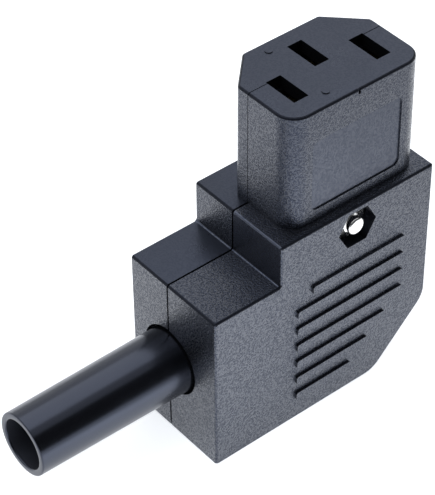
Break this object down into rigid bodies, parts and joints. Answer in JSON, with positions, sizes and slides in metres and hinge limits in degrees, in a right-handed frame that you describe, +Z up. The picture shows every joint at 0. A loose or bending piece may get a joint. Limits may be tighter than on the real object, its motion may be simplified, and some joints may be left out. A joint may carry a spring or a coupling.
{
  "type": "right-angle rewirable appliance connector",
  "caption": "Right-angle appliance connector for a flexible cord: slotted female nose on a ribbed split housing closed by a screw and nut, with a hollow cord sleeve leaving at the side.",
  "frame": {"origin": "on the resting face under the housing, below the nose axis, on the parting plane of the shells", "axes": "+X away from the cord sleeve, +Y towards the rear shell with the ribbed panelled face looking to -Y, +Z up along the nose to the mating face"},
  "size_m": [0.0624, 0.0184, 0.0513],
  "materials": {
    "housing": "fine spark-textured moulding, smoother on the mating face and rear decks",
    "guard": "smooth glossy black flexible sleeve",
    "plated_steel": "bright zinc plate",
    "inner_moulding": "plain moulding",
    "brass": "bright rolled strip"
  },
  "bodies": {
    "root": {"front_shell": "housing", "rear_shell": "housing", "cord_guard": "guard", "closing_screw": "plated_steel", "closing_nut": "plated_steel", "cord_clamp": "inner_moulding", "clamp_screws": "plated_steel", "line_contact": "brass", "neutral_contact": "brass", "earth_contact": "brass", "line_wire_clamp": "plated_steel", "neutral_wire_clamp": "plated_steel", "earth_wire_clamp": "plated_steel", "terminal_screws": "plated_steel"}
  },
  "joints": []
}
